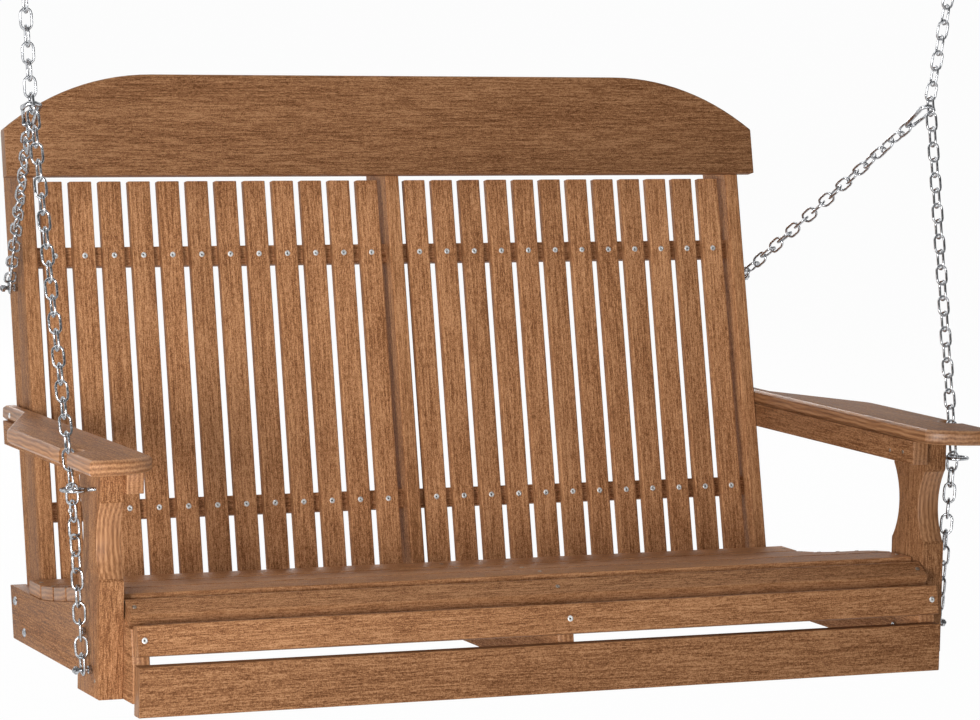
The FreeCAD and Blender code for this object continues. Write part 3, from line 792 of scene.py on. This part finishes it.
@dataclass
class Chain:
    """Welded chain: each CAD link becomes a round one in the same place."""

    fullness: float = 1.05
    broader: float = 1.16
    sides: int = 8
    bend_steps: int = 6

    def link(self, block: Block) -> bmesh.types.BMesh:
        """One link, made by two half turns and two straight stretches.

        Args:
            block: the CAD link's block.

        Returns:
            The link's mesh, in its place.
        """
        length, width, thick = block.size
        wire = thick / 2 / self.fullness
        width *= self.broader
        half = width / 2 - wire
        leg = length - 2 * (half + wire)
        form = bmesh.new()
        start = Matrix.Translation((half, 0, -leg / 2))
        ring = bmesh.ops.create_circle(form, cap_ends=False, radius=wire, segments=self.sides, matrix=start)["verts"]
        edges = list({edge for vert in ring for edge in vert.link_edges})
        edges = draw(form, edges, Vector((0, 0, leg)))
        edges = bend(form, edges, Vector((0, 0, leg / 2)), Vector((0, -1, 0)), 180, self.bend_steps)
        edges = draw(form, edges, Vector((0, 0, -leg)))
        bend(form, edges, Vector((0, 0, -leg / 2)), Vector((0, -1, 0)), 180, self.bend_steps)
        bmesh.ops.remove_doubles(form, verts=form.verts, dist=2e-6)
        bmesh.ops.transform(form, matrix=block.place(), verts=form.verts)
        return form

    def build_one(self, name: str) -> None:
        """Builds one run of chain.

        Args:
            name: its CAD node.
        """
        run = bmesh.new()
        for block in blocks_of(name):
            link = self.link(block)
            mesh = bpy.data.meshes.new("link")
            link.to_mesh(mesh)
            link.free()
            run.from_mesh(mesh)
            bpy.data.meshes.remove(mesh)
        publish(run, f"{name}_links", [ZINC.material()], body_with(name), (name,))

    def build(self) -> None:
        """Builds every run."""
        for name in nodes_in(Slot.ZINC):
            if name.endswith("_chain"):
                self.build_one(name)


@dataclass
class Fittings:
    """Guide rings, carabiners with their gates, and ceiling hooks."""

    ring_wire: float = 6.4
    thread_pitch: float = 2.4
    hook_wire: float = 9.5
    hook_inner: float = 13.0
    hook_screw: float = 70.0
    fatten: float = 0.3

    def ring(self, name: str, outward: float) -> None:
        """A screw eye: a level ring on a round shank.

        Args:
            name: its CAD node.
            outward: the sign of X on its side.
        """
        low, high = SEAT.box(name)
        wire = self.ring_wire / 2
        radius = (high.y - low.y) / 2 - wire
        outer = max(low.x * outward, high.x * outward) - wire
        inner = min(low.x * outward, high.x * outward)
        y, z = (low.y + high.y) / 2, (low.z + high.z) / 2
        form = bmesh.new()
        angles = [math.tau * step / 12 for step in range(13)]
        circle = [(radius + wire * math.cos(angle), wire * math.sin(angle)) for angle in angles]
        centre = SEAT.hung((outer - radius) * outward, y, z)
        lathe(form, circle, Matrix.Translation(centre) @ SEAT.turn().inverted().to_4x4(), 32)
        aim = facing(SEAT.hung(inner * outward, y, z), Vector((outward, 0, 0)))
        reach = outer - 2 * radius - inner
        lathe(form, [(0, 0), (wire, 0), (wire, reach), (0, reach)], aim, 12)
        publish(form, f"{name}_eye", [ZINC.material()], body_with(name), (name,))

    def clip(self, name: str) -> None:
        """A carabiner's body or gate, smoothed from its CAD bar.

        Args:
            name: its CAD node.
        """
        form = node_form(name)
        form.normal_update()
        for vert in form.verts:
            vert.co += vert.normal * self.fatten * MM
        publish(form, f"{name}_bar", [ZINC.material()], body_with(name), (name,))

    def hook(self, name: str, outward: float) -> None:
        """A ceiling hook: one rod, bent twice, with a screw thread above.

        Args:
            name: its CAD node.
            outward: the sign of X on its side.
        """
        points = [vert.co / MM for vert in frame["nodes"][name].data.vertices]
        top = max(point.z for point in points)
        shank = [point.x for point in points if point.z > top - 5]
        x = (min(shank) + max(shank)) / 2
        turn = (self.hook_inner + self.hook_wire) / 2
        centre = min(point.z for point in points) + self.hook_wire / 2 + turn
        rise = math.sqrt(3) * turn
        form = bmesh.new()
        head = Matrix.Translation(Vector((x, 0, top)) * MM)
        ring = bmesh.ops.create_circle(form, cap_ends=True, radius=self.hook_wire / 2 * MM, segments=12, matrix=head)
        edges = list({edge for vert in ring["verts"] for edge in vert.link_edges})
        edges = draw(form, edges, Vector((0, 0, (centre + rise - top) * MM)))
        side = Vector((0, 1, 0))
        first = Vector((x - turn * outward, 0, centre + rise)) * MM
        edges = bend(form, edges, first, side, 60 * outward, 4)
        edges = bend(form, edges, Vector((x, 0, centre)) * MM, side, -275 * outward, 16)
        bmesh.ops.contextual_create(form, geom=edges)
        self.thread(form, x, top)
        publish(form, f"{name}_rod", [ZINC.material()], body_with(name), (name,))

    def thread(self, form: bmesh.types.BMesh, x: float, top: float) -> None:
        """Adds the ridges of a wood screw's thread.

        Args:
            form: the mesh.
            x: the screw's axis.
            top: its upper end.
        """
        radius, pitch = self.hook_wire / 2, self.thread_pitch
        for number in range(int((self.hook_screw - 12.0) / pitch)):
            place = Matrix.Translation(Vector((x, 0, top - 3.0 - pitch * number)) * MM)
            lathe(form, [(radius - 0.3, -0.7), (radius + 0.45, 0), (radius - 0.3, 0.7)], place, 12)

    def build(self) -> None:
        """Builds the fittings of both sides."""
        for side, outward in (("left", -1.0), ("right", 1.0)):
            self.ring(f"{side}_guide_ring", outward)
            self.clip(f"{side}_carabiner")
            self.clip(f"{side}_carabiner_gate")
            self.hook(f"{side}_ceiling_hook", outward)


@dataclass
class Fasteners:
    """Bolts and nuts that the CAD holds, and the screws that only the scene shows."""

    bolt: float = 8.0
    dome: float = 18.0
    dome_rise: float = 4.4
    hex_reach: float = 7.5
    hex_height: float = 5.4
    head: float = 11.4
    small_head: float = 7.0
    dull_head: float = 9.0

    def head_side(self, points: list[Vector], block: Block) -> float:
        """The side of a bolt that its head is on.

        Args:
            points: the CAD bolt's corners.
            block: the block around them.

        Returns:
            The sign of X on that side.
        """
        middle, reach = block.middle, self.bolt * 0.7 * MM
        wide = [point.x for point in points if math.hypot(point.y - middle.y, point.z - middle.z) > reach]
        return math.copysign(1.0, sum(wide) / len(wide) - middle.x)

    def bolts(self, name: str, domed: bool) -> None:
        """Round shanks with domed or hexagonal heads, and the nuts that share their node.

        Args:
            name: their CAD node.
            domed: whether the heads are domed.
        """
        form = bmesh.new()
        for points in solids_of(name):
            block = Block.around(points)
            if abs(block.axes[0].x) < 0.9:
                self.nut(form, block)
                continue
            half, radius = block.size[0] / 2 / MM, self.bolt / 2
            aim = facing(block.middle, Vector((self.head_side(points, block), 0, 0)))
            ends = [(0, -half), (radius - 0.7, -half), (radius, 0.7 - half), (radius, half - 0.7), (radius - 0.7, half)]
            lathe(form, ends + [(0, half)], aim, 16)
            if domed:
                self.dome_head(form, aim, half - self.dome_rise)
            else:
                self.hexagon(form, aim, half - self.hex_height, self.hex_height, 0.0)
        publish(form, f"{name}_turned", [ZINC.material()], body_with(name), (name,), smooth=False)

    def dome_head(self, form: bmesh.types.BMesh, aim: Matrix, base: float) -> None:
        """Adds a domed head above its base."""
        radius, rise = self.dome / 2, self.dome_rise
        angles = [math.radians(angle) for angle in range(0, 91, 15)]
        lathe(form, [(radius * math.sin(a), base + rise * math.cos(a)) for a in angles], aim, 24)

    def hexagon(self, form: bmesh.types.BMesh, aim: Matrix, base: float, height: float, bore: float) -> None:
        """Adds a hexagonal head or nut.

        Args:
            form: the mesh.
            aim: the bolt's place.
            base: its lower face.
            height: its height.
            bore: its inner radius.
        """
        reach, top = self.hex_reach, base + height
        corner = [(bore, base), (reach - 1, base), (reach, base + 0.7), (reach, top - 0.7), (reach - 1, top), (bore, top)]
        lathe(form, corner, aim, 6)

    def nut(self, form: bmesh.types.BMesh, block: Block) -> None:
        """Adds a nut in the place of a CAD one."""
        thick = min(block.size) / MM
        self.hexagon(form, facing(block.middle, Vector((1, 0, 0))), -thick / 2, thick, self.bolt / 2)

    def nuts(self, name: str) -> None:
        """Builds a node of nuts.

        Args:
            name: their CAD node.
        """
        form = bmesh.new()
        for block in blocks_of(name):
            self.nut(form, block)
        publish(form, f"{name}_turned", [ZINC.material()], body_with(name), (name,), smooth=False)

    def screws(self, name: str, places: list[tuple[Vector, Vector]], width: float, finish: MetalFinish) -> None:
        """Screw heads, each with a flat dark disc in its recess as painted shade.

        Args:
            name: the new object's name.
            places: a point on each board's face and the face's normal.
            width: each head's diameter.
            finish: the heads' finish.
        """
        form = bmesh.new()
        radius = width / 2
        rim = [(radius * 0.26, 0.3), (radius * 0.28, 1.1), (radius * 0.7, 1.0), (radius * 0.95, 0.5), (radius, -0.2)]
        for point, outward in places:
            aim = facing(point, outward)
            lathe(form, rim, aim, 12)
            # A flat dark disc in the recess: painted shade in the hollow drive.
            lathe(form, [(0, 0.32), (radius * 0.27, 0.32)], aim, 6, skin=1)
        publish(form, name, [finish.material(), SHADE.material()], "seat")

    def back_places(self, side: str) -> list[tuple[Vector, Vector]]:
        """Where the slats of one bay are screwed to their two rails."""
        places = []
        for level in ("upper", "lower"):
            rail = blocks_of(f"{side}_{level}_back_rail")[0]
            for slat in blocks_of(f"{side}_back_slats"):
                up = slat.axes[0]
                out = slat.axes[2] if slat.axes[2].y < 0 else -slat.axes[2]
                rise = (rail.middle - slat.middle).dot(up)
                places.append((slat.middle + up * rise + out * (slat.size[2] / 2), out))
        return places

    def seat_places(self, names: list[str]) -> list[tuple[Vector, Vector]]:
        """Where boards across the seat are screwed to the three rails.

        Args:
            names: the boards' CAD nodes.

        Returns:
            A point and a normal for each screw.
        """
        boxes = [SEAT.box(f"{side}_seat_rail") for side in ("left", "centre", "right")]
        lines = [(low.x + high.x) / 2 * MM for low, high in boxes]
        places = []
        for name in names:
            board = blocks_of(name)[0]
            out = board.axes[2]
            out = out if (-out.y if name == "front_slat" else out.z) > 0 else -out
            for x in lines:
                point = board.middle + out * (board.size[2] / 2)
                point.x = x
                places.append((point, out))
        return places

    def arm_places(self, side: str, outward: float) -> list[tuple[Vector, Vector]]:
        """Two screws from an arm rail into its post.

        Args:
            side: left or right.
            outward: the sign of X on that side.

        Returns:
            A point and a normal for each screw.
        """
        low, high = SEAT.box(f"{side}_arm_rail")
        inner = min(abs(low.x), abs(high.x)) * outward
        level = (low.z + high.z) / 2
        return [(SEAT.hung(inner, y, level + lift), Vector((-outward, 0, 0))) for y, lift in ((112, -2), (162, -5))]

    def side_place(self, name: str, y: float, z: float, outward: float) -> list[tuple[Vector, Vector]]:
        """A screw in a board's outer side.

        Args:
            name: the board's CAD node.
            y: the screw's place in the seat's axes.
            z: the same, upwards.
            outward: the sign of X on that side.

        Returns:
            A point and a normal, if the board is met there.
        """
        form = node_form(name)
        aim = Vector((-outward, 0, 0))
        point = BVHTree.FromBMesh(form).ray_cast(SEAT.hung(1200 * outward, y, z), aim)[0]
        form.free()
        return [(point, -aim)] if point else []

    def build(self) -> None:
        """Builds the fasteners of the whole swing."""
        for name in nodes_in(Slot.ZINC):
            if name.endswith("bolts"):
                self.bolts(name, "frame" in name)
            if name.endswith("nuts"):
                self.nuts(name)
        for side, outward in (("left", -1.0), ("right", 1.0)):
            self.screws(f"{side}_back_screws", self.back_places(side), self.head, SCREW)
            self.screws(f"{side}_arm_rail_screws", self.arm_places(side, outward), self.small_head, DULL)
            self.screws(f"{side}_tail_screw", self.side_place(f"{side}_arm", 785, 440, outward), self.head, SCREW)
            self.screws(f"{side}_post_screw", self.side_place(f"{side}_arm_post", 103, 51, outward), self.small_head, DULL)
        self.screws("front_screws", self.seat_places(["front_slat"]), self.head, SCREW)
        tops = [f"seat_slat_{number}" for number in range(1, 8)] + ["nose_slat"]
        self.screws("seat_screws", self.seat_places(tops), self.dull_head, DULL)


@dataclass
class Studio:
    """A pale floor and backdrop, soft lamps and the photograph's camera."""

    floor_level: float = -1.78
    camera_place: Triple = (-3.0049, -6.7509, 0.7469)
    right: Triple = (0.91656, -0.39452, 0.0654)
    up: Triple = (0.02207, 0.21318, 0.97676)
    focal: float = 147.82
    fill: float = 0.24
    room: float = 0.12

    def white(self) -> bpy.types.Material:
        """A floor that is white to the camera and pale grey to the light."""
        made = bpy.data.materials.new("studio_white")
        made.use_nodes = True
        tree = made.node_tree
        shader = tree.nodes["Principled BSDF"]
        shader.inputs["Base Color"].default_value = (0.8, 0.8, 0.8, 1.0)
        shader.inputs["Roughness"].default_value = 0.9
        path = node(tree, "LightPath")
        seen = maths(tree, "MAXIMUM", path.outputs["Is Camera Ray"], path.outputs["Is Glossy Ray"])
        glow = node(tree, "Emission", {"Color": (1, 1, 1, 1), "Strength": 1.0})
        share = maths(tree, "MULTIPLY", seen, 0.97)
        mix = node(tree, "MixShader", {0: share, 1: shader.outputs[0], 2: glow.outputs[0]})
        tree.links.new(mix.outputs[0], tree.nodes["Material Output"].inputs["Surface"])
        return made

    def floor(self) -> None:
        """The floor under the swing."""
        form = bmesh.new()
        level = Matrix.Translation((0, 6, self.floor_level))
        bmesh.ops.create_grid(form, x_segments=1, y_segments=1, size=14.0, matrix=level)
        mesh = bpy.data.meshes.new("studio_floor")
        form.to_mesh(mesh)
        form.free()
        mesh.materials.append(self.white())
        made = bpy.data.objects.new("studio_floor", mesh)
        bpy.context.scene.collection.objects.link(made)

    def world(self) -> None:
        """White to the camera, white behind the swing in reflections, and a plain soft fill for the rest."""
        made = bpy.data.worlds.new("studio_air")
        made.use_nodes = True
        tree = made.node_tree
        path = node(tree, "LightPath")
        seen = maths(tree, "MAXIMUM", path.outputs["Is Camera Ray"], path.outputs["Is Transmission Ray"])
        way = node(tree, "SeparateXYZ", {0: node(tree, "TexCoord").outputs["Generated"]})
        mirrored = spread(tree, way.outputs[1], (-0.1, self.room), (0.35, 1.0))
        fill = blend(tree, path.outputs["Is Glossy Ray"], self.fill, mirrored)
        back = tree.nodes["Background"]
        back.inputs["Color"].default_value = (1, 1, 1, 1)
        tree.links.new(blend(tree, seen, fill, 1.0), back.inputs["Strength"])
        bpy.context.scene.world = made

    def lamp(self, name: str, place: Triple, aim: Triple, size: float, power: float) -> None:
        """One square lamp.

        Args:
            name: the lamp's name.
            place: where it stands.
            aim: the point it faces.
            size: its side in metres.
            power: its power in watts.
        """
        data = bpy.data.lights.new(name, "AREA")
        data.size = size
        data.energy = power
        made = bpy.data.objects.new(name, data)
        made.location = place
        made.rotation_euler = (Vector(aim) - Vector(place)).to_track_quat("-Z", "Y").to_euler()
        bpy.context.scene.collection.objects.link(made)

    def camera(self) -> None:
        """The photograph's viewpoint."""
        right, up = Vector(self.right).normalized(), Vector(self.up).normalized()
        data = bpy.data.cameras.new("photograph")
        data.sensor_width = 36.0
        data.sensor_fit = "HORIZONTAL"
        data.lens = self.focal
        made = bpy.data.objects.new("photograph", data)
        turn = Matrix((right, up, right.cross(up))).transposed().to_4x4()
        made.matrix_world = Matrix.Translation(self.camera_place) @ turn
        bpy.context.scene.collection.objects.link(made)
        bpy.context.scene.camera = made

    def build(self) -> None:
        """Sets the whole studio."""
        self.floor()
        self.world()
        self.lamp("key", (-3.3, -3.3, -0.5), (-0.2, 0.1, -0.9), 1.2, 158.0)
        self.lamp("front", (-0.4, -5.0, -0.3), (-0.2, 0, -0.9), 1.8, 44.0)
        self.lamp("top", (-0.8, 0.4, 2.2), (0, 0.2, -0.8), 1.6, 30.0)
        self.lamp("rear", (0.8, 4.6, 0.4), (0, 0.3, -0.8), 2.6, 95.0)
        self.camera()
        bpy.context.scene.view_settings.view_transform = "Standard"


def main() -> None:
    """Builds every part of the picture and reports it."""
    logging.basicConfig(level=logging.INFO, format="%(message)s")
    for part in (Boards(), Chain(), Fittings(), Fasteners(), Studio()):
        LOG.info("building %s", type(part).__name__)
        part.build()


if __name__ == "__main__":
    main()
